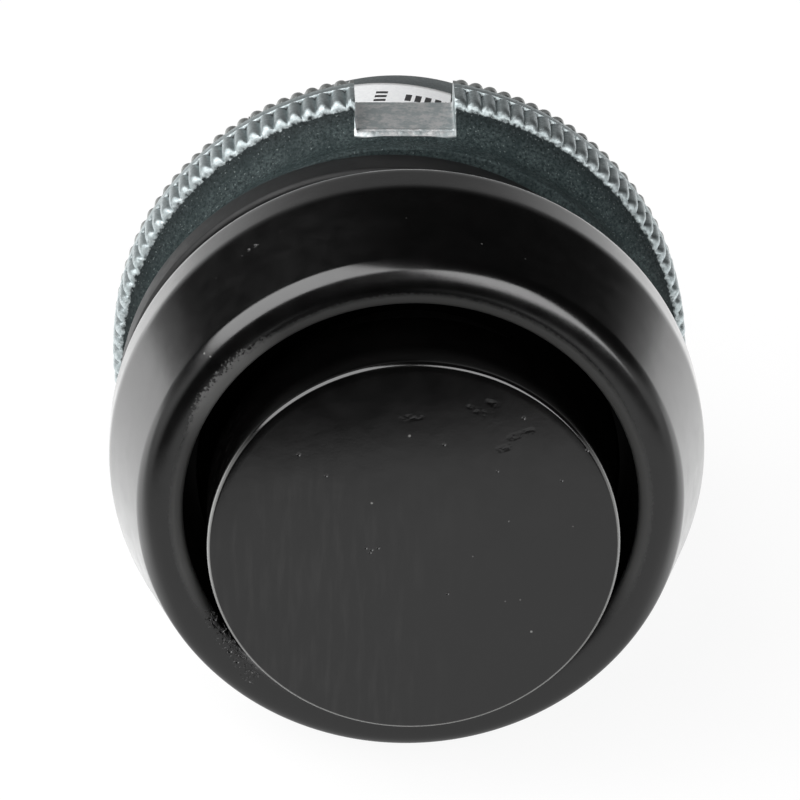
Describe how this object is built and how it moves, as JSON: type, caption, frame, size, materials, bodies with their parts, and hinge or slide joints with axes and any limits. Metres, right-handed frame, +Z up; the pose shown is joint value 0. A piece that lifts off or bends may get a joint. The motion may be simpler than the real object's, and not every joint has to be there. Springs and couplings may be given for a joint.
{
  "type": "momentary push button switch",
  "caption": "Round panel-mounted momentary push button with a proud flat black button, domed ring bezel, knurled cast flange with a key notch, and a rear contact block.",
  "frame": {"origin": "centre of the panel seat, on the gasket's front face", "axes": "-Y out of the panel towards the user, along the switch's axis; +Z up through the flange's key notch; +X to the user's right"},
  "size_m": [0.0425, 0.0589, 0.0424],
  "materials": {
    "cast_zinc": "as-cast zinc alloy, dull grey with a fine speckle",
    "black_moulding": "semi-gloss black moulding with small pits",
    "black_rubber": "smooth black rubber",
    "label_paper": "white self-adhesive paper",
    "grey_acetal": "natural grey moulding",
    "spring_steel": "bare spring steel",
    "plated_steel": "zinc-plated steel",
    "block_moulding": "matt black thermoset moulding",
    "contact_brass": "bare brass strip",
    "contact_silver": "silver contact alloy"
  },
  "bodies": {
    "base": {"base_housing": "cast_zinc", "bezel_ring": "black_moulding", "gasket": "black_rubber", "label": "label_paper", "rod_seal": "black_rubber", "seal_washer": "plated_steel", "return_spring": "spring_steel", "contact_block_body": "block_moulding", "contact_block_cover": "block_moulding", "block_screws": "plated_steel", "fixed_contacts_closed": "contact_brass", "fixed_contacts_open": "contact_brass", "fixed_tips": "contact_silver", "terminal_clamps": "plated_steel", "terminal_screws": "plated_steel"},
    "button": {"button_head": "black_moulding", "plunger": "grey_acetal", "retaining_ring": "spring_steel", "contact_carrier": "grey_acetal", "bridge_closed": "contact_brass", "bridge_open": "contact_brass", "bridge_tips": "contact_silver", "contact_springs": "spring_steel"}
  },
  "joints": [
    {"name": "button_press", "type": "slide", "parent": "base", "child": "button", "axis": [0, 1, 0], "range_m": [0, 0.005], "stiffness_N_per_m": 1000, "springref_m": -0.006, "deforming": ["return_spring"]}
  ]
}
